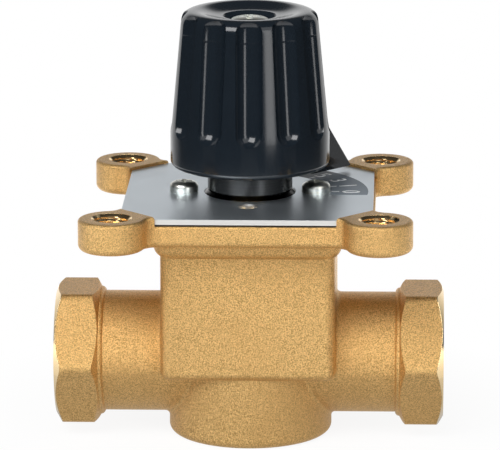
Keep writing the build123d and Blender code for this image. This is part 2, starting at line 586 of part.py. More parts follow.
def build():
    """Every piece of the valve by name."""
    cover_screw = countersunk_screw(COVER_SCREW_D, COVER_SCREW_LENGTH, COVER_SCREW_HEAD_D)
    plate_screw = pan_screw(PLATE_SCREW_D, PLATE_SCREW_LENGTH, PLATE_SCREW_HEAD_D, PLATE_SCREW_HEAD_H)
    knob_screw = pan_screw(KNOB_SCREW_D, KNOB_SCREW_LENGTH, KNOB_SCREW_HEAD_D, KNOB_SCREW_HEAD_H)
    cover_seal_r = SPIGOT_R - COVER_SEAL_SECTION / 2
    stem_seal_r = STEM_R + SEAL_CLEARANCE + STEM_SEAL_SECTION / 2
    pieces = {
        "valve_body": valve_body(),
        "cover": cover(),
        "cover_seal": o_ring(cover_seal_r, COVER_SEAL_SECTION, COVER_SEAT_Z - COVER_SEAL_DROP),
        "scale_plate": scale_plate(),
        "plate_gasket": plate_gasket(),
        "thrust_washer_lower": thrust_washer(CHAMBER_FLOOR_Z, PIVOT_D / 2 + SCREW_HOLE_CLEARANCE),
        "thrust_washer_upper": thrust_washer(UPPER_WASHER_BOTTOM_Z, STEM_R + SCREW_HOLE_CLEARANCE),
        "rotor": rotor(),
        "stem_sleeve": stem_sleeve(),
        "knob": knob(),
        "knob_screw": Pos(0, 0, KNOB_SCREW_SEAT_Z) * knob_screw,
        "knob_washer": ring(KNOB_WASHER_D / 2, KNOB_SCREW_D / 2 + SCREW_HOLE_CLEARANCE,
                            KNOB_WASHER_BOTTOM_Z, KNOB_SCREW_SEAT_Z),
    }
    for name, drop in zip(("stem_seal_upper", "stem_seal_lower"), STEM_SEAL_DROPS):
        pieces[name] = o_ring(stem_seal_r, STEM_SEAL_SECTION, COVER_BOSS_TOP_Z - drop)
    for number, angle in enumerate(DIAGONALS, start=1):
        place = Rot(0, 0, angle) * Pos(COVER_SCREW_PCD / 2, 0, FLANGE_TOP_Z)
        pieces[f"cover_screw_{number}"] = place * cover_screw
    for name, side in (("plate_screw_left", -1), ("plate_screw_right", 1)):
        pieces[name] = Pos(side * PLATE_SCREW_PCD / 2, 0, PLATE_TOP_Z) * plate_screw
    return pieces


for node, piece in build().items():
    export_step(piece, f"parts/{node}.step")
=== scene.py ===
import json
from math import asin, cos, pi, radians, sin, tan

import bmesh
import bpy
from mathutils import Matrix, Vector
from mathutils.kdtree import KDTree

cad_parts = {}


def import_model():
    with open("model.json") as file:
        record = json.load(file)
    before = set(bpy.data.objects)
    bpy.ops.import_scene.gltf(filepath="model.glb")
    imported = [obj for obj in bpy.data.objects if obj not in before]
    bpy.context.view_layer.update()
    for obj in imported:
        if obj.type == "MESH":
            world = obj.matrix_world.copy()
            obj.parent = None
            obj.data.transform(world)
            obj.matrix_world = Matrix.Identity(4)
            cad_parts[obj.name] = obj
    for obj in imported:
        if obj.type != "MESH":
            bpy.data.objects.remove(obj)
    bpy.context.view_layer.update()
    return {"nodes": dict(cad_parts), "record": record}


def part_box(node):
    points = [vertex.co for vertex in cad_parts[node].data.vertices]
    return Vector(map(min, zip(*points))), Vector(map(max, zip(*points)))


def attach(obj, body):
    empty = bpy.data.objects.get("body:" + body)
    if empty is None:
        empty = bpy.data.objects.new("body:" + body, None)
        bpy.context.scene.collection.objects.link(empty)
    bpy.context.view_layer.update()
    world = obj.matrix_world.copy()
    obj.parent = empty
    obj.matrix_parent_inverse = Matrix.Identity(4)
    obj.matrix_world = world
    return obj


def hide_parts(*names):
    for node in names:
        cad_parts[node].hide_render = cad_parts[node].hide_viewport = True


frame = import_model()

# Three-way mixing valve: finishes, threads, open flutes, printed scale, studio and camera.
# Metres, +Z up along the stem.
MM = 0.001

# Photograph: its width in pixels and the camera that took it
PHOTO_WIDTH_PX = 500
PIXELS_PER_MM = 3.488
CAMERA_DISTANCE = 1.27
CAMERA_YAW_DEG = 2.1
CAMERA_ELEVATION_DEG = 13.7
CAMERA_ROLL_DEG = -0.15
CAMERA_TARGET = Vector((-0.05, 0, 60.3)) * MM
CAMERA_CLIP_START = 0.05
SENSOR_WIDTH_MM = 36.0

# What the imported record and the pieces' own boxes say
MOUNTS = {mount["name"]: mount for mount in frame["record"]["mounts"]}
PORTS = ("port_left", "port_right", "port_outlet")
PORT_Z = MOUNTS["port_right"]["pos_m"][2]
PORT_THREAD_R = MOUNTS["port_right"]["dims"]["r_mm"] * MM
PORT_THREAD_LENGTH = MOUNTS["port_right"]["dims"]["length_mm"] * MM
PORT_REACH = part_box("valve_body")[1].x
PLATE_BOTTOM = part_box("scale_plate")[0].z
PLATE_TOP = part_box("scale_plate")[1].z
KNOB_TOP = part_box("knob")[1].z
LUG_REACH = MOUNTS["lug_holes"]["dims"]["spacing_x_mm"] / 2 * MM
LUG_HOLE_R = MOUNTS["lug_holes"]["dims"]["hole_r_mm"] * MM


def placed(name, data):
    """A new object in the scene."""
    made = bpy.data.objects.new(name, data)
    bpy.context.scene.collection.objects.link(made)
    return made


def shaped(holder):
    """The mesh that an object's modifiers or its text make."""
    bpy.context.view_layer.update()
    return bpy.data.meshes.new_from_object(holder.evaluated_get(bpy.context.evaluated_depsgraph_get()))


def put(tree, slot, value):
    """Links a value to a socket, or writes a constant into it."""
    if isinstance(value, Value):
        tree.links.new(value.socket, slot)
    else:
        slot.default_value = value


class Value:
    """A node's output, on which sums and comparisons add Math nodes."""

    def __init__(self, tree, socket):
        self.tree = tree
        self.socket = socket

    def math(self, operation, *terms):
        node = self.tree.nodes.new("ShaderNodeMath")
        node.operation = operation
        for slot, term in zip(node.inputs, terms):
            put(self.tree, slot, term)
        return Value(self.tree, node.outputs[0])

    def __add__(self, other):
        return self.math("ADD", self, other)

    def __radd__(self, other):
        return self.math("ADD", other, self)

    def __sub__(self, other):
        return self.math("SUBTRACT", self, other)

    def __rsub__(self, other):
        return self.math("SUBTRACT", other, self)

    def __mul__(self, other):
        return self.math("MULTIPLY", self, other)

    def __rmul__(self, other):
        return self.math("MULTIPLY", other, self)

    def __truediv__(self, other):
        return self.math("DIVIDE", self, other)

    def __mod__(self, other):
        return self.math("FLOORED_MODULO", self, other)

    def __abs__(self):
        return self.math("ABSOLUTE", self)

    def floor(self):
        return self.math("FLOOR", self)

    def root(self):
        return self.math("SQRT", self)

    def sine(self):
        return self.math("SINE", self)

    def cosine(self):
        return self.math("COSINE", self)

    def at_least(self, other):
        return self.math("MAXIMUM", self, other)

    def at_most(self, other):
        return self.math("MINIMUM", self, other)

    def clamped(self):
        return self.at_least(0.0).at_most(1.0)

    def beyond(self, edge, softness):
        """0 below the edge, 1 above it, with a soft step as wide as softness."""
        return ((self - edge) / softness + 0.5).clamped()


class Tree:
    """A node tree while it is made: node() adds one node and gives one of its outputs."""

    def __init__(self, tree):
        self.tree = tree

    def node(self, kind, settings=None, inputs=None, output=0):
        made = self.tree.nodes.new(kind)
        for name, value in (settings or {}).items():
            if name == "stops":
                self.set_stops(made.color_ramp.elements, value)
            else:
                setattr(made, name, value)
        for name, value in (inputs or {}).items():
            put(self.tree, made.inputs[name], value)
        return Value(self.tree, made.outputs[output]) if made.outputs else made

    @staticmethod
    def set_stops(elements, stops):
        while len(elements) < len(stops):
            elements.new(0.5)
        for element, (place, colour) in zip(elements, stops):
            element.position = place
            element.color = (*colour, 1)

    def mixed(self, factor, first, second):
        """A colour between two colours."""
        ends = [end if isinstance(end, Value) else (*end, 1) for end in (first, second)]
        inputs = {0: factor, 6: ends[0], 7: ends[1]}
        return self.node("ShaderNodeMix", {"data_type": "RGBA"}, inputs, output=2)

    def apart(self, vector):
        """The three parts of a vector."""
        node = self.tree.nodes.new("ShaderNodeSeparateXYZ")
        put(self.tree, node.inputs[0], vector)
        return [Value(self.tree, output) for output in node.outputs]

    def vector(self, x, y, z):
        return self.node("ShaderNodeCombineXYZ", None, {0: x, 1: y, 2: z})


class Finish(Tree):
    """A procedural material on object coordinates."""

    def __init__(self, name):
        self.material = bpy.data.materials.new(name)
        self.material.use_nodes = True
        super().__init__(self.material.node_tree)
        self.tree.nodes.clear()
        self.place = self.node("ShaderNodeTexCoord", output="Object")
        self.x, self.y, self.z = self.apart(self.place)

    def noise(self, size, detail=2.0, roughness=0.5, stretch=None):
        """Soft noise whose blobs are about as large as size, from 0 to 1."""
        place = self.place
        if stretch:
            place = self.node("ShaderNodeVectorMath", {"operation": "MULTIPLY"}, {0: place, 1: stretch})
        return self.node("ShaderNodeTexNoise", None, {
            "Vector": place, "Scale": 1 / size, "Detail": detail, "Roughness": roughness})

    def bump(self, height, distance):
        """A normal bent by a height field, distance being the height of 1."""
        return self.node("ShaderNodeBump", None, {"Height": height, "Distance": distance, "Strength": 1.0})

    def surface(self, **sockets):
        """Ends the material in one Principled shader. An underscore in a name stands for a space."""
        inputs = {name.replace("_", " "): value for name, value in sockets.items()}
        if not isinstance(inputs["Base Color"], Value):
            inputs["Base Color"] = (*inputs["Base Color"], 1)
        shader = self.node("ShaderNodeBsdfPrincipled", None, inputs)
        self.node("ShaderNodeOutputMaterial", None, {"Surface": shader})
        return self.material


# Brass: cast and blasted outside, turned and drilled where tools have been
CAST_DARK = (0.50, 0.285, 0.090)
CAST_LIGHT = (1.0, 0.66, 0.275)
CAST_TIRED = (0.72, 0.43, 0.160)
TURNED_BRASS = (0.93, 0.70, 0.38)
SMEARED_BRASS = (0.88, 0.63, 0.30)
SMEAR_SIZE = 3 * MM
CHATTERED_BRASS = (0.80, 0.55, 0.26)
CHATTER_SIZE = 0.6 * MM
GRAIN_SIZE = 0.37 * MM
GRAIN_HEIGHT = 0.30 * MM
PIT_SIZE = 1.1 * MM
PIT_HEIGHT = 0.16 * MM
CLOUD_SIZE = 17 * MM
FLECK_CONTRAST = 7.5
FLECK_LEVEL = 0.56
FLECK_BY_PITS = 0.3
CLOUD_EDGE = 0.42
CLOUD_CONTRAST = 2.2
CLOUD_SHARE = 0.55
CAST_ROUGHNESS = 0.36
CAST_ROUGHNESS_SPREAD = 0.3
TURNED_ROUGHNESS = 0.13
TURNING_PITCH = 0.16 * MM
TURNING_HEIGHT = 0.003 * MM
PARTING_Z = 20.6 * MM
PARTING_DRAFT = 0.09
FACE_R = 18.3 * MM
BORE_R = 16.9 * MM
MOUTH_DEPTH = 1 * MM
HEX_REACH = 24 * MM
HEX_CHAMFER_DEG = 30
LUG_MOUTH = 0.72 * MM
CHAMBER_R = 18.6 * MM
CHAMBER_FLOOR = 5 * MM
EDGE_BLUR = 0.08 * MM
# Painted dark reflection of the knob's underside on the turned boss above the plate, left off a strip at the
# front and back
DARK_REFLECTION_DROP = 0.3 * MM
UNPAINTED_STRIP_HALF_WIDTH = 4.5 * MM
DARK_REFLECTION_BLUR = 2 * MM
PAINTED_DARK_REFLECTION = (0.012, 0.012, 0.012)


def turned_areas(finish):
    """Where the casting was machined: port ends and bores, lug holes and chamber."""
    x, y, z = finish.x, finish.y, finish.z
    rise = z - PORT_Z
    areas = []
    for along, across in ((abs(x), y), (y, x)):
        out = (across * across + rise * rise).root()
        cone = along + (out - FACE_R) * tan(radians(HEX_CHAMFER_DEG))
        areas.append(cone.beyond(PORT_REACH - EDGE_BLUR, EDGE_BLUR) * (1 - out.beyond(HEX_REACH, EDGE_BLUR)))
        areas.append((1 - out.beyond(BORE_R, EDGE_BLUR)) * along.beyond(CHAMBER_R, EDGE_BLUR))
        areas.append(along.beyond(PORT_REACH - MOUTH_DEPTH, EDGE_BLUR) * (1 - out.beyond(FACE_R, EDGE_BLUR)))
    lug_x = abs(x) - LUG_REACH
    lug_y = abs(y) - LUG_REACH
    from_lug = (lug_x * lug_x + lug_y * lug_y).root()
    areas.append(1 - from_lug.beyond(LUG_HOLE_R + LUG_MOUTH, EDGE_BLUR))
    from_stem = (x * x + y * y).root()
    areas.append((1 - from_stem.beyond(CHAMBER_R, EDGE_BLUR)) * z.beyond(CHAMBER_FLOOR, EDGE_BLUR))
    mask = areas[0]
    for area in areas[1:]:
        mask = mask.at_least(area)
    return mask


def cast_brass():
    """Blasted casting with a bright grain, darker clouds, a drafted lower half and machined places."""
    finish = Finish("cast_brass")
    grain = finish.noise(GRAIN_SIZE, 5.0, 0.78)
    pits = finish.noise(PIT_SIZE, 2.0, 0.5)
    clouds = finish.noise(CLOUD_SIZE, 2.0, 0.5)
    turned = turned_areas(finish)
    fleck = (grain - 0.5) * FLECK_CONTRAST + FLECK_LEVEL + (pits - 0.5) * FLECK_BY_PITS
    colour = finish.mixed(fleck.clamped(), CAST_DARK, CAST_LIGHT)
    tired = ((clouds - CLOUD_EDGE) * CLOUD_CONTRAST).clamped() * CLOUD_SHARE
    colour = finish.mixed(tired, colour, CAST_TIRED)
    colour = finish.mixed(turned, colour, TURNED_BRASS)
    below = (PARTING_Z - finish.z).at_least(0.0)
    draft = below * PARTING_DRAFT / MM
    rough_skin = (grain * GRAIN_HEIGHT + pits * PIT_HEIGHT) / MM
    skin = rough_skin * (1 - turned) - draft
    normal = finish.bump(skin, MM)
    cast_roughness = CAST_ROUGHNESS + (grain - 0.5) * CAST_ROUGHNESS_SPREAD
    roughness = cast_roughness * (1 - turned) + TURNED_ROUGHNESS * turned
    return finish.surface(Base_Color=colour, Metallic=1.0, Roughness=roughness, Normal=normal)


def turned_brass():
    """Bright lathe-turned brass with fine rings, painted black above the plate as a dark reflection of the
    knob, but for a strip at the front and back.
    """
    finish = Finish("machined_brass")
    from_stem = (finish.x * finish.x + finish.y * finish.y).root()
    rings = ((from_stem + finish.z) * (2 * pi / TURNING_PITCH)).sine()
    smear = finish.noise(SMEAR_SIZE, 2.0, 0.5)
    colour = finish.mixed(smear, SMEARED_BRASS, TURNED_BRASS)
    # Painted dark reflection: the boss is coloured near black above the plate, except in a strip at the front
    # and back
    off_strip = abs(finish.x).beyond(UNPAINTED_STRIP_HALF_WIDTH, DARK_REFLECTION_BLUR)
    painted_reflection = finish.z.beyond(PLATE_TOP - DARK_REFLECTION_DROP, EDGE_BLUR) * off_strip
    colour = finish.mixed(painted_reflection, colour, PAINTED_DARK_REFLECTION)
    normal = finish.bump(rings, TURNING_HEIGHT)
    return finish.surface(Base_Color=colour, Metallic=1.0, Roughness=0.10 + smear * 0.10, Normal=normal)


def thread_brass():
    """Cut thread flanks, a little duller than the turned faces."""
    finish = Finish("thread_brass")
    chatter = finish.noise(CHATTER_SIZE, 2.0, 0.5)
    colour = finish.mixed(chatter, CHATTERED_BRASS, TURNED_BRASS)
    return finish.surface(Base_Color=colour, Metallic=1.0, Roughness=0.16 + chatter * 0.14)


# Sheet, zinc plate, plastics, rubber and inks: their tones, and the size and height of their grain
PLATE_TONES = (0.82, 0.89, 0.95), (0.87, 0.94, 0.99)
PLATE_CLOUD_SIZE = 9 * MM
ROLLING_SIZE = 0.2 * MM
ROLLING_HEIGHT = 0.012 * MM
SHEARED_METAL = (0.97, 0.97, 0.94)
SHEARED_DROP = 0.06 * MM
SHEARED_BLUR = 0.04 * MM
ZINC_STOPS = [(0.25, (0.52, 0.56, 0.50)), (0.5, (0.78, 0.80, 0.76)), (0.75, (0.80, 0.76, 0.62))]
PASSIVATION_SIZE = 1.6 * MM
SPECKLE_SIZE = 0.3 * MM
SPECKLE_HEIGHT = 0.012 * MM
PLASTIC_IOR = 1.5
KNOB_TONES = (0.0075, 0.0115, 0.0165), (0.0095, 0.0145, 0.0205)
MOULD_WAVE_SIZE = 7 * MM
MOULD_WAVE_HEIGHT = 0.02 * MM
SCUFF_SIZE = 0.5 * MM
SLEEVE_TONES = (0.006, 0.007, 0.008), (0.035, 0.038, 0.040)
SLEEVE_RING_SIZE = 0.35 * MM
SLEEVE_RING_HEIGHT = 0.02 * MM
RUBBER_TONES = (0.010, 0.010, 0.011), (0.022, 0.022, 0.023)
BLOOM_SIZE = 2 * MM
BLOOM_HEIGHT = 0.01 * MM
SLIP_TONES = (0.80, 0.80, 0.77), (0.88, 0.88, 0.85)
SKIVE_SIZE = 0.8 * MM
SKIVE_HEIGHT = 0.01 * MM
INK_TONES = (0.155, 0.186, 0.216), (0.175, 0.208, 0.240)
MARK_TONES = (0.84, 0.87, 0.89), (0.90, 0.92, 0.93)
PRINT_GRAIN_SIZE = 0.7 * MM


def plate_metal():
    """Satin sheet: almost even, with a faint rolling grain along X, cloudy gloss and pale sheared edges."""
    finish = Finish("plate_metal")
    rolling = finish.noise(ROLLING_SIZE, 3.0, 0.55, stretch=(0.02, 1, 1))
    clouds = finish.noise(PLATE_CLOUD_SIZE, 3.0, 0.6)
    colour = finish.mixed(clouds, *PLATE_TONES)
    sheared = 1 - finish.z.beyond(PLATE_TOP - SHEARED_DROP, SHEARED_BLUR)
    colour = finish.mixed(sheared, colour, SHEARED_METAL)
    normal = finish.bump(rolling, ROLLING_HEIGHT)
    roughness = 0.32 + clouds * 0.08 + rolling * 0.03
    return finish.surface(Base_Color=colour, Metallic=1.0, Roughness=roughness, Normal=normal)


def zinc_steel():
    """Zinc plate with passivation clouds that lean green and straw."""
    finish = Finish("zinc_steel")
    clouds = finish.noise(PASSIVATION_SIZE, 3.0, 0.6)
    colour = finish.node("ShaderNodeValToRGB", {"stops": ZINC_STOPS}, {"Fac": clouds})
    speckle = finish.noise(SPECKLE_SIZE, 2.0, 0.6)
    normal = finish.bump(speckle, SPECKLE_HEIGHT)
    return finish.surface(Base_Color=colour, Metallic=1.0, Roughness=0.22 + clouds * 0.2, Normal=normal)


def knob_plastic():
    """Deep glossy blue-black moulding with the faint waviness of a mould."""
    finish = Finish("knob_plastic")
    wave = finish.noise(MOULD_WAVE_SIZE, 2.0, 0.5)
    scuff = finish.noise(SCUFF_SIZE, 3.0, 0.6)
    colour = finish.mixed(wave, *KNOB_TONES)
    normal = finish.bump(wave, MOULD_WAVE_HEIGHT)
    roughness = 0.145 + (scuff - 0.5).at_least(0.0) * 0.25
    return finish.surface(
        Base_Color=colour, Metallic=0.0, Roughness=roughness, IOR=PLASTIC_IOR, Normal=normal)


def sleeve_black():
    """Black turned sleeve with fine rings."""
    finish = Finish("sleeve_black")
    jitter = finish.noise(SLEEVE_RING_SIZE, 3.0, 0.7, stretch=(0.02, 0.02, 1))
    normal = finish.bump(jitter, SLEEVE_RING_HEIGHT)
    colour = finish.mixed(jitter, *SLEEVE_TONES)
    roughness = 0.16 + jitter * 0.18
    return finish.surface(
        Base_Color=colour, Metallic=0.0, Roughness=roughness, IOR=PLASTIC_IOR, Normal=normal)


def seal_rubber():
    """Dark moulded rubber."""
    finish = Finish("seal_rubber")
    bloom = finish.noise(BLOOM_SIZE, 3.0, 0.6)
    colour = finish.mixed(bloom, *RUBBER_TONES)
    normal = finish.bump(bloom, BLOOM_HEIGHT)
    return finish.surface(Base_Color=colour, Metallic=0.0, Roughness=0.55 + bloom * 0.2, Normal=normal)


def slip_plastic():
    """Waxy white skived sheet."""
    finish = Finish("slip_plastic")
    skive = finish.noise(SKIVE_SIZE, 2.0, 0.5, stretch=(0.1, 1, 1))
    colour = finish.mixed(skive, *SLIP_TONES)
    normal = finish.bump(skive, SKIVE_HEIGHT)
    return finish.surface(Base_Color=colour, Metallic=0.0, Roughness=0.35 + skive * 0.15, Normal=normal)


def print_ink():
    """Satin dark grey ink on the plate."""
    finish = Finish("print_ink")
    grain = finish.noise(PRINT_GRAIN_SIZE, 3.0, 0.6)
    colour = finish.mixed(grain, *INK_TONES)
    return finish.surface(Base_Color=colour, Metallic=0.0, Roughness=0.45 + grain * 0.1)


def print_marks():
    """Satin white ink of the numerals and ticks."""
    finish = Finish("print_marks")
    grain = finish.noise(PRINT_GRAIN_SIZE, 3.0, 0.6)
    colour = finish.mixed(grain, *MARK_TONES)
    return finish.surface(Base_Color=colour, Metallic=0.0, Roughness=0.45 + grain * 0.1)


FINISHES = {
    "cast_brass": cast_brass(),
    "machined_brass": turned_brass(),
    "plate_metal": plate_metal(),
    "zinc_steel": zinc_steel(),
    "knob_plastic": knob_plastic(),
    "sleeve_black": sleeve_black(),
    "seal_rubber": seal_rubber(),
    "slip_plastic": slip_plastic(),
}
THREAD_FINISH = thread_brass()
INK_FINISH = print_ink()
MARK_FINISH = print_marks()


def dress_nodes():
    """Gives each CAD node the finish of its own material slot."""
    for subpart in frame["record"]["subparts"]:
        slots = frame["nodes"][subpart["node"]].data.materials
        finish = FINISHES[subpart["material_slot"]]
        if not slots:
            slots.append(finish)
        for index in range(len(slots)):
            slots[index] = finish


# Threads
PIPE_PITCH = 2.309 * MM
PIPE_DEPTH = 1.479 * MM
PIPE_SIDES = 120
TAPPED_PITCH = 0.7 * MM
TAPPED_DEPTH = 0.36 * MM
TAPPED_R = 2.03 * MM
TAPPED_LENGTH = 3.5 * MM
TAPPED_PLACE_R = 18.9 * MM
TAPPED_SIDES = 40
GASKET_THICKNESS = 0.5 * MM
LUG_THREAD_PITCH = 1.5 * MM
LUG_THREAD_DEPTH = 0.6 * MM
LUG_THREAD_LENGTH = 7.6 * MM
LUG_THREAD_SIDES = 64
THREAD_WALL = 0.02 * MM
THREAD_WELD = 0.001 * MM
SAMPLES_PER_PITCH = 12
FLANK_SLOPE = 1.45
ROOT_FLAT = 0.225
RUNOUT_SLOPE = 1.7


class Shape(Tree):
    """A Geometry Nodes tree with named number inputs."""

    def __init__(self, name, numbers):
        group = bpy.data.node_groups.new(name, "GeometryNodeTree")
        group.is_modifier = True
        self.group = group
        super().__init__(group)
        self.sockets = {}
        for title, kind in numbers.items():
            socket = group.interface.new_socket(title, in_out="INPUT", socket_type=kind)
            self.sockets[title] = socket.identifier
        group.interface.new_socket("Geometry", in_out="OUTPUT", socket_type="NodeSocketGeometry")
        entry = group.nodes.new("NodeGroupInput")
        self.inputs = {title: Value(group, entry.outputs[title]) for title in numbers}

    def finish(self, geometry, material):
        """Ends the tree: real geometry, one material."""
        real = self.node("GeometryNodeRealizeInstances", None, {0: geometry})
        painted = self.node("GeometryNodeSetMaterial", None, {"Geometry": real, "Material": material})
        self.node("NodeGroupOutput", None, {0: painted})

    def make(self, name, values, place=Matrix.Identity(4)):
        """A plain mesh piece made by the tree with these values, put in its place."""
        carrier = placed(name + "_carrier", bpy.data.meshes.new(name + "_carrier"))
        modifier = carrier.modifiers.new("shape", "NODES")
        modifier.node_group = self.group
        for title, value in values.items():
            modifier[self.sockets[title]] = value
        mesh = shaped(carrier)
        carrier.modifiers.remove(modifier)
        bpy.data.objects.remove(carrier)
        mesh.name = name
        mesh.transform(place)
        return placed(name, mesh)


def thread_shape():
    """Helical wall inside a bore along +Z, from its inner end at 0 to its mouth, closed behind."""
    shape = Shape("cut_thread", {
        "Radius": "NodeSocketFloat", "Depth": "NodeSocketFloat", "Pitch": "NodeSocketFloat",
        "Length": "NodeSocketFloat", "Rows": "NodeSocketInt", "Sides": "NodeSocketInt",
    })
    radius, depth, pitch = shape.inputs["Radius"], shape.inputs["Depth"], shape.inputs["Pitch"]
    length, rows, sides = shape.inputs["Length"], shape.inputs["Rows"], shape.inputs["Sides"]
    # Rows past the thread run back behind the wall, and the last one meets the first
    grid = shape.node("GeometryNodeMeshGrid", None, {"Vertices X": rows + 4.0, "Vertices Y": sides + 1.0})
    index = shape.node("GeometryNodeInputIndex")
    row = (index / (sides + 1.0)).floor() % (rows + 3.0)
    side = index % (sides + 1.0)
    behind = row.beyond(rows + 0.5, 0.1)
    along = (row * length / rows) * (1 - behind) + (rows + 2.0 - row) * length * behind
    turn = side / sides
    wave = abs(((along / pitch - turn) % 1.0) * 2.0 - 1.0)
    crest = (wave * FLANK_SLOPE - ROOT_FLAT).clamped()
    groove = radius - depth * crest
    mouth = radius - (length - along)
    runout = radius - along * RUNOUT_SLOPE
    inside = groove.at_least(mouth).at_least(runout).at_most(radius)
    reach = inside * (1 - behind) + (radius + THREAD_WALL) * behind
    angle = turn * (2 * pi)
    place = shape.vector(reach * angle.cosine(), reach * angle.sine(), along)
    bent = shape.node("GeometryNodeSetPosition", None, {"Geometry": grid, "Position": place})
    closed = shape.node("GeometryNodeMergeByDistance", None, {"Geometry": bent, "Distance": THREAD_WELD})
    shape.finish(closed, THREAD_FINISH)
    return shape


def thread_values(radius, depth, pitch, length, sides):
    """What the thread tree needs for one kind of thread."""
    rows = round(length / pitch * SAMPLES_PER_PITCH)
    return {"Radius": radius - THREAD_WALL, "Depth": depth, "Pitch": pitch,
            "Length": length, "Rows": rows, "Sides": sides}


def cut_threads():
    """The three pipe threads, the two open tapped holes under the plate and the four lug threads."""
    pipe = thread_values(PORT_THREAD_R, PIPE_DEPTH, PIPE_PITCH, PORT_THREAD_LENGTH, PIPE_SIDES)
    tapped = thread_values(TAPPED_R, TAPPED_DEPTH, TAPPED_PITCH, TAPPED_LENGTH, TAPPED_SIDES)
    lug = thread_values(LUG_HOLE_R, LUG_THREAD_DEPTH, LUG_THREAD_PITCH, LUG_THREAD_LENGTH, LUG_THREAD_SIDES)
    threads = []
    for name in PORTS:
        out = Vector(MOUNTS[name]["axis"])
        inner_end = Vector(MOUNTS[name]["pos_m"]) - out * PORT_THREAD_LENGTH / 2
        turning = out.to_track_quat("Z", "Y").to_matrix().to_4x4()
        threads.append((name.replace("port", "port_thread"), pipe, Matrix.Translation(inner_end) @ turning))
    tapped_bottom = PLATE_BOTTOM - GASKET_THICKNESS - TAPPED_LENGTH
    for name, side in (("tapped_thread_front", -1), ("tapped_thread_back", 1)):
        threads.append((name, tapped, Matrix.Translation((0, side * TAPPED_PLACE_R, tapped_bottom))))
    lug_bottom = MOUNTS["lug_holes"]["pos_m"][2] - LUG_THREAD_LENGTH / 2
    for number, (x, y) in enumerate(((-1, -1), (1, -1), (1, 1), (-1, 1)), start=1):
        place = Matrix.Translation((x * LUG_REACH, y * LUG_REACH, lug_bottom))
        threads.append((f"lug_thread_{number}", lug, place))
    shape = thread_shape()
    for name, values, place in threads:
        piece = shape.make(name, values, place)
        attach(piece, "valve")


# Knob: its flutes run out through the rounded shoulder
KNOB_GAP = 8.1 * MM
KNOB_BOTTOM = PLATE_TOP + KNOB_GAP
SKIRT_R = 22.7 * MM
SKIRT_HEIGHT = 10 * MM
SKIRT_EDGE_R = 1.5 * MM
SHOULDER_R = 19.85 * MM
SHOULDER_DROP = 3.6 * MM
SHOULDER_PULL = Vector((-0.2, 2.8)) * MM
RIDGE_PULL = Vector((2.4, 0)) * MM
DISH_PULL = Vector((-2.2, 0)) * MM
RIM_PULL = Vector((3.0, 0.1)) * MM
RIDGE_R = 15.4 * MM
DISH_DEPTH = 1.5 * MM
WELL_R = 7.65 * MM
EDGE_STEPS = 48
OUTLINE_STEP = 0.05 * MM
ON_SURFACE = 0.09 * MM
LEAST_AGREEMENT = 0.8
SHARP_DEG = 28
POINTER_REST_DEG = 46.5
FLUTE_COUNT = 12
FLUTE_SIDES = 96

# Round-ended flutes as radius and the two ends of the axis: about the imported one, and the one that opens it
MOULDED_FLUTE = (4.3 * MM, Vector((23.94, 0, 91.8)) * MM, Vector((21.74, 0, 116.6)) * MM)
OPENING_CUT = (4.24 * MM, Vector((22.29, 0, 111.0)) * MM, Vector((21.36, 0, 121.0)) * MM)


def flute_turn(i):
    """The turn about the stem that brings a flute from +X to its place."""
    return Matrix.Rotation(radians(POINTER_REST_DEG + (i + 0.5) * 360 / FLUTE_COUNT), 3, "Z")


def flute_cutters():
    """Twelve round-ended rods, leaning with the knob's taper, in one mesh."""
    cutters = bmesh.new()
    radius, low, high = OPENING_CUT
    lean = (high - low).to_track_quat("Z", "Y").to_matrix().to_4x4()
    for i in range(FLUTE_COUNT):
        ball = bmesh.ops.create_uvsphere(
            cutters, u_segments=FLUTE_SIDES, v_segments=FLUTE_SIDES // 2, radius=radius)
        for vertex in ball["verts"]:
            if vertex.co.z > 0:
                vertex.co.z += (high - low).length
            vertex.co = flute_turn(i) @ (low + lean @ vertex.co)
    mesh = bpy.data.meshes.new("flute_cutters")
    cutters.to_mesh(mesh)
    cutters.free()
    return mesh


def bent(points, share):
    """The point of a Bezier curve at a share of its way."""
    while len(points) > 1:
        points = [first.lerp(second, share) for first, second in zip(points, points[1:])]
    return points[0]


def grip_outline():
    """Half section of the grip from its bottom edge over the shoulder to the well, as (radius, height)."""
    shoulder = Vector((SHOULDER_R, KNOB_TOP - SHOULDER_DROP))
    ridge = Vector((RIDGE_R, KNOB_TOP))
    rim = Vector((WELL_R, KNOB_TOP - DISH_DEPTH))
    stretches = [
        [Vector((SKIRT_R, KNOB_BOTTOM + SKIRT_EDGE_R)), Vector((SKIRT_R, KNOB_BOTTOM + SKIRT_HEIGHT))],
        [Vector((SKIRT_R, KNOB_BOTTOM + SKIRT_HEIGHT)), shoulder],
        [shoulder, shoulder + SHOULDER_PULL, ridge + RIDGE_PULL, ridge],
        [ridge, ridge + DISH_PULL, rim + RIM_PULL, rim],
    ]
    points = []
    for i in range(EDGE_STEPS):
        angle = pi / 2 * (i / EDGE_STEPS - 1)
        points.append(Vector((SKIRT_R - SKIRT_EDGE_R * (1 - cos(angle)),
                              KNOB_BOTTOM + SKIRT_EDGE_R * (1 + sin(angle)))))
    for stretch in stretches:
        count = round((stretch[-1] - stretch[0]).length / OUTLINE_STEP)
        points += [bent(stretch, i / count) for i in range(count)]
    return points + [rim]


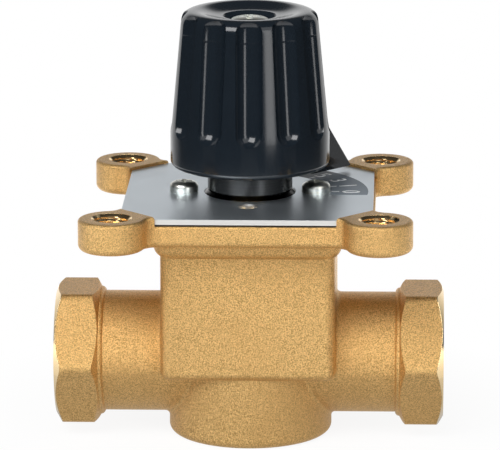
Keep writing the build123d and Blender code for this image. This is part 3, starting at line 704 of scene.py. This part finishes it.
def grip_surfaces():
    """The grip's true surfaces, as functions that give a point's distance from one and the way out of it."""
    outline = grip_outline()
    search = KDTree(len(outline))
    for i, point in enumerate(outline):
        search.insert((point.x, point.y, 0), i)
    search.balance()

    def turned_surface(point):
        from_stem = Vector((point.x, point.y))
        _, nearest, distance = search.find((from_stem.length, point.z, 0))
        before, after = outline[max(nearest - 1, 0)], outline[min(nearest + 1, len(outline) - 1)]
        along = (after - before).normalized()
        level = from_stem.normalized() * along.y
        return distance, Vector((level.x, level.y, -along.x))

    def flute_surface(i, flute):
        radius, low, high = flute
        low, high = flute_turn(i) @ low, flute_turn(i) @ high

        def surface(point):
            share = min(max((point - low).dot(high - low) / (high - low).length_squared, 0), 1)
            inward = low.lerp(high, share) - point
            return abs(inward.length - radius), inward.normalized()

        return surface

    kinds = (MOULDED_FLUTE, OPENING_CUT)
    return [turned_surface] + [flute_surface(i, kind) for i in range(FLUTE_COUNT) for kind in kinds]


def smooth_grip(mesh):
    """Shades each face of the grip with the normals of the true surface that it lies on."""
    surfaces = grip_surfaces()
    normals = [corner.vector.copy() for corner in mesh.corner_normals]
    for face in mesh.polygons:
        best, match = None, LEAST_AGREEMENT
        corners = [mesh.vertices[i].co for i in face.vertices]
        for surface in surfaces:
            if all(surface(corner)[0] < ON_SURFACE for corner in corners):
                agreement = surface(face.center)[1].dot(face.normal)
                if agreement > match:
                    best, match = surface, agreement
        if best:
            for loop, corner in zip(face.loop_indices, corners):
                normals[loop] = best(corner)[1]
    mesh.normals_split_custom_set(normals)


def open_flutes():
    """The knob again, with its flutes cut out through the shoulder."""
    tool = placed("flute_cutters", flute_cutters())
    knob = placed("fluted_knob", frame["nodes"]["knob"].data.copy())
    cut = knob.modifiers.new("cut", "BOOLEAN")
    cut.object = tool
    cut.operation = "DIFFERENCE"
    cut.solver = "EXACT"
    mesh = shaped(knob)
    knob.modifiers.remove(cut)
    knob.data = mesh
    bpy.data.objects.remove(tool)
    mesh.shade_smooth()
    mesh.set_sharp_from_angle(angle=radians(SHARP_DEG))
    smooth_grip(mesh)
    mesh.materials.clear()
    mesh.materials.append(FINISHES["knob_plastic"])
    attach(knob, "turning_set")
    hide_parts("knob")


# Printed scale on the plate
SCALE_NUMBERS = ("0", "1", "3", "5", "7", "9", "10")
SCALE_SPAN_DEG = 90.0
SCALE_INNER_R = 23.1 * MM
SCALE_OUTER_R = 33.8 * MM
SCALE_MARGIN = 4.0 * MM
SCALE_STEPS = 48
INK_THICKNESS = 0.02 * MM
TICK_INNER_R = 23.3 * MM
TICK_OUTER_R = 25.5 * MM
TICK_WIDTH = 0.55 * MM
NUMBER_R = 28.9 * MM
NUMBER_HEIGHT = 5.2 * MM
NUMBER_SQUEEZE = 0.92
NUMBER_FATTENING = 0.012
NUMBER_SMOOTHNESS = 6
NUMBER_WELD = 0.001 * MM
MARK_THICKNESS = 0.015 * MM


def scale_arc(radius):
    """Points of an arc whose ends lie a margin past the X and the Y axis."""
    start = asin(-SCALE_MARGIN / radius)
    stop = radians(SCALE_SPAN_DEG) - start
    angles = [start + (stop - start) * i / SCALE_STEPS for i in range(SCALE_STEPS + 1)]
    return [(radius * cos(angle), radius * sin(angle)) for angle in angles]


def ink_sector():
    """Dark field of the scale: a thin ring piece whose two ends run parallel to X and to Y."""
    points = scale_arc(SCALE_OUTER_R) + scale_arc(SCALE_INNER_R)[::-1]
    count = len(points)
    low = [(x, y, PLATE_TOP) for x, y in points]
    high = [(x, y, PLATE_TOP + INK_THICKNESS) for x, y in points]
    strips = [(i, i + 1, count - 2 - i, count - 1 - i) for i in range(SCALE_STEPS)]
    faces = [tuple(count + i for i in strip) for strip in strips]
    faces += [strip[::-1] for strip in strips]
    faces += [(i, (i + 1) % count, count + (i + 1) % count, count + i) for i in range(count)]
    mesh = bpy.data.meshes.new("scale_ink")
    mesh.from_pydata(low + high, [], faces)
    mesh.materials.append(INK_FINISH)
    piece = placed("scale_ink", mesh)
    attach(piece, "valve")


def scale_ticks():
    """One short tick for each number, spread by a ring of points."""
    shape = Shape("scale_ticks", {
        "Count": "NodeSocketInt", "Step": "NodeSocketFloat", "Middle Radius": "NodeSocketFloat",
        "Tick Size": "NodeSocketVector", "Level": "NodeSocketFloat",
    })
    middle, level = shape.inputs["Middle Radius"], shape.inputs["Level"]
    tick = shape.node("GeometryNodeMeshCube", None, {"Size": shape.inputs["Tick Size"]})
    points = shape.node("GeometryNodePoints", None, {"Count": shape.inputs["Count"]})
    angle = shape.node("GeometryNodeInputIndex") * shape.inputs["Step"]
    place = shape.vector(middle * angle.cosine(), middle * angle.sine(), level)
    spread = shape.node("GeometryNodeSetPosition", None, {"Geometry": points, "Position": place})
    ticks = shape.node("GeometryNodeInstanceOnPoints", None, {
        "Points": spread, "Instance": tick, "Rotation": shape.vector(0.0, 0.0, angle)})
    shape.finish(ticks, MARK_FINISH)
    return shape.make("scale_ticks", {
        "Count": len(SCALE_NUMBERS), "Step": radians(SCALE_SPAN_DEG) / (len(SCALE_NUMBERS) - 1),
        "Middle Radius": (TICK_INNER_R + TICK_OUTER_R) / 2,
        "Tick Size": (TICK_OUTER_R - TICK_INNER_R, TICK_WIDTH, MARK_THICKNESS),
        "Level": PLATE_TOP + INK_THICKNESS + MARK_THICKNESS / 2,
    })


def scale_number(text, angle):
    """One numeral as a thin mesh whose top points away from the stem."""
    curve = bpy.data.curves.new("numeral", "FONT")
    curve.body = text
    curve.align_x = "CENTER"
    curve.align_y = "CENTER"
    curve.offset = NUMBER_FATTENING
    curve.resolution_u = NUMBER_SMOOTHNESS
    carrier = placed("numeral", curve)
    flat = shaped(carrier)
    bpy.data.objects.remove(carrier)
    lows = [min(vertex.co[i] for vertex in flat.vertices) for i in (0, 1)]
    highs = [max(vertex.co[i] for vertex in flat.vertices) for i in (0, 1)]
    size = NUMBER_HEIGHT / (highs[1] - lows[1])
    centre = Vector(((lows[0] + highs[0]) / 2, (lows[1] + highs[1]) / 2, 0))
    scaling = Matrix.Diagonal((size * NUMBER_SQUEEZE, size, 1, 1)) @ Matrix.Translation(-centre)
    turning = Matrix.Rotation(angle - pi / 2, 4, "Z")
    out = Vector((cos(angle), sin(angle), 0)) * NUMBER_R
    level = Vector((0, 0, PLATE_TOP + INK_THICKNESS))
    flat.transform(Matrix.Translation(out + level) @ turning @ scaling)
    return flat


def scale_marks():
    """Numerals and ticks joined into one thin piece."""
    joined = bmesh.new()
    for i, text in enumerate(SCALE_NUMBERS):
        angle = radians(SCALE_SPAN_DEG) * i / (len(SCALE_NUMBERS) - 1)
        flat = scale_number(text, angle)
        joined.from_mesh(flat)
        bpy.data.meshes.remove(flat)
    bmesh.ops.remove_doubles(joined, verts=joined.verts, dist=NUMBER_WELD)
    lifted = bmesh.ops.extrude_face_region(joined, geom=list(joined.faces))
    raised = [item for item in lifted["geom"] if isinstance(item, bmesh.types.BMVert)]
    bmesh.ops.translate(joined, verts=raised, vec=(0, 0, MARK_THICKNESS))
    bmesh.ops.recalc_face_normals(joined, faces=joined.faces)
    ticks = scale_ticks()
    joined.from_mesh(ticks.data)
    mesh = bpy.data.meshes.new("scale_marks")
    joined.to_mesh(mesh)
    joined.free()
    bpy.data.objects.remove(ticks)
    mesh.materials.append(MARK_FINISH)
    piece = placed("scale_marks", mesh)
    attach(piece, "valve")


# Studio: white behind and beside, dark in front and above, three softboxes
FLOOR_R = 0.30
FLOOR_SIDES = 96
# Floor glow seen in reflections: dimmer near the valve as a painted shadow, brighter further out
FLOOR_PAINTED_SHADOW_GLOW = 0.56
FLOOR_FAR_LIGHT = 1.6
FLOOR_PAINTED_SHADOW_R = 0.14
FLOOR_PAINTED_SHADOW_SOFTNESS = 0.14
FLOOR_MATT = (0.85, 0.85, 0.85, 1)
FLOOR_SHADOW_R = 0.11
FLOOR_SHADOW_SHARE = 0.14
BEHIND = Vector((-sin(radians(CAMERA_YAW_DEG)), cos(radians(CAMERA_YAW_DEG)), 0))
RIGHT = Vector((cos(radians(CAMERA_YAW_DEG)), sin(radians(CAMERA_YAW_DEG)), 0))
WORLD_DARK = 0.045
WORLD_BRIGHT = 1.05
BACKDROP_EDGE = 0.70
BACKDROP_SOFTNESS = 0.40
BACKDROP_TOP = 0.34
BACKDROP_TOP_SOFTNESS = 0.14
SOFTBOX_DISTANCE = 2.5


def floor():
    """Pale round table top that shows white and keeps a soft shadow. In reflections it glows, dimmer near the
    valve as a painted shadow.
    """
    angles = [2 * pi * i / FLOOR_SIDES for i in range(FLOOR_SIDES)]
    points = [(FLOOR_R * cos(angle), FLOOR_R * sin(angle), 0) for angle in angles]
    mesh = bpy.data.meshes.new("floor")
    mesh.from_pydata(points, [], [tuple(range(FLOOR_SIDES))])
    table = placed("floor", mesh)
    finish = Finish("floor")
    reach = (finish.x * finish.x + finish.y * finish.y).root()
    light = finish.node("ShaderNodeLightPath", output="Is Camera Ray")
    glossy = finish.node("ShaderNodeLightPath", output="Is Glossy Ray")
    through = finish.node("ShaderNodeLightPath", output="Is Transmission Ray")
    shown = light.at_least(glossy).at_least(through)
    shadow = (1 - reach / FLOOR_SHADOW_R).clamped() * FLOOR_SHADOW_SHARE
    matt = finish.node("ShaderNodeBsdfDiffuse", None, {"Color": FLOOR_MATT})
    # In reflections the floor glows less near the valve: a painted shadow
    far = reach.beyond(FLOOR_PAINTED_SHADOW_R, FLOOR_PAINTED_SHADOW_SOFTNESS)
    glow_with_painted_shadow = FLOOR_PAINTED_SHADOW_GLOW * (1 - far) + FLOOR_FAR_LIGHT * far
    strength = light + (1 - light) * glow_with_painted_shadow
    white = finish.node("ShaderNodeEmission", None, {"Color": (1, 1, 1, 1), "Strength": strength})
    seen = finish.node("ShaderNodeMixShader", None, {0: shown * (1 - shadow), 1: matt, 2: white})
    finish.node("ShaderNodeOutputMaterial", None, {"Surface": seen})
    mesh.materials.append(finish.material)


def world():
    """White behind and beside the valve up to head height, dark in front and overhead."""
    studio = bpy.data.worlds.new("studio")
    bpy.context.scene.world = studio
    studio.use_nodes = True
    studio.node_tree.nodes.clear()
    tree = Tree(studio.node_tree)
    way = tree.node("ShaderNodeTexCoord", output="Generated")
    x, y, z = tree.apart(way)
    behind = x * BEHIND.x + y * BEHIND.y
    low_down = 1 - z.beyond(BACKDROP_TOP, BACKDROP_TOP_SOFTNESS)
    backdrop = behind.beyond(BACKDROP_EDGE, BACKDROP_SOFTNESS) * low_down
    light = WORLD_DARK + backdrop * (WORLD_BRIGHT - WORLD_DARK)
    camera = tree.node("ShaderNodeLightPath", output="Is Camera Ray")
    strength = camera + light * (1 - camera)
    shade = tree.node("ShaderNodeBackground", None, {"Color": (1, 1, 1, 1), "Strength": strength})
    tree.node("ShaderNodeOutputWorld", None, {"Surface": shade})


def softbox(name, azimuth_deg, elevation_deg, width_deg, height_deg, radiance):
    """A far rectangular lamp, placed and sized as the valve sees it."""
    azimuth, elevation = radians(azimuth_deg), radians(elevation_deg)
    level = -BEHIND * cos(azimuth) + RIGHT * sin(azimuth)
    way = level * cos(elevation) + Vector((0, 0, sin(elevation)))
    lamp = bpy.data.lights.new(name, "AREA")
    lamp.shape = "RECTANGLE"
    lamp.size = 2 * SOFTBOX_DISTANCE * tan(radians(width_deg / 2))
    lamp.size_y = 2 * SOFTBOX_DISTANCE * tan(radians(height_deg / 2))
    lamp.energy = radiance * pi * lamp.size * lamp.size_y
    holder = placed(name, lamp)
    holder.location = CAMERA_TARGET + way * SOFTBOX_DISTANCE
    holder.rotation_mode = "QUATERNION"
    holder.rotation_quaternion = way.to_track_quat("Z", "Y")


def camera():
    """The photograph's camera: long lens, slightly from the right and above."""
    yaw, elevation = radians(CAMERA_YAW_DEG), radians(CAMERA_ELEVATION_DEG)
    back = Vector((cos(elevation) * sin(yaw), -cos(elevation) * cos(yaw), sin(elevation)))
    lens = bpy.data.cameras.new("camera")
    lens.sensor_width = SENSOR_WIDTH_MM
    width_at_target = PHOTO_WIDTH_PX / PIXELS_PER_MM * MM
    lens.lens = SENSOR_WIDTH_MM * CAMERA_DISTANCE / width_at_target
    lens.clip_start = CAMERA_CLIP_START
    holder = placed("camera", lens)
    holder.rotation_mode = "QUATERNION"
    level = back.to_track_quat("Z", "Y").to_matrix()
    roll = Matrix.Rotation(radians(CAMERA_ROLL_DEG), 3, "Z")
    holder.rotation_quaternion = (level @ roll).to_quaternion()
    holder.location = CAMERA_TARGET + back * CAMERA_DISTANCE
    bpy.context.scene.camera = holder


camera()
world()
floor()
softbox("softbox_right", azimuth_deg=30, elevation_deg=12, width_deg=14, height_deg=37, radiance=3.7)
softbox("softbox_left", azimuth_deg=-28, elevation_deg=43, width_deg=42, height_deg=34, radiance=7.5)
softbox("softbox_high", azimuth_deg=35, elevation_deg=45, width_deg=40, height_deg=34, radiance=1.3)
dress_nodes()
cut_threads()
open_flutes()
ink_sector()
scale_marks()
bpy.context.scene.view_settings.view_transform = "Standard"
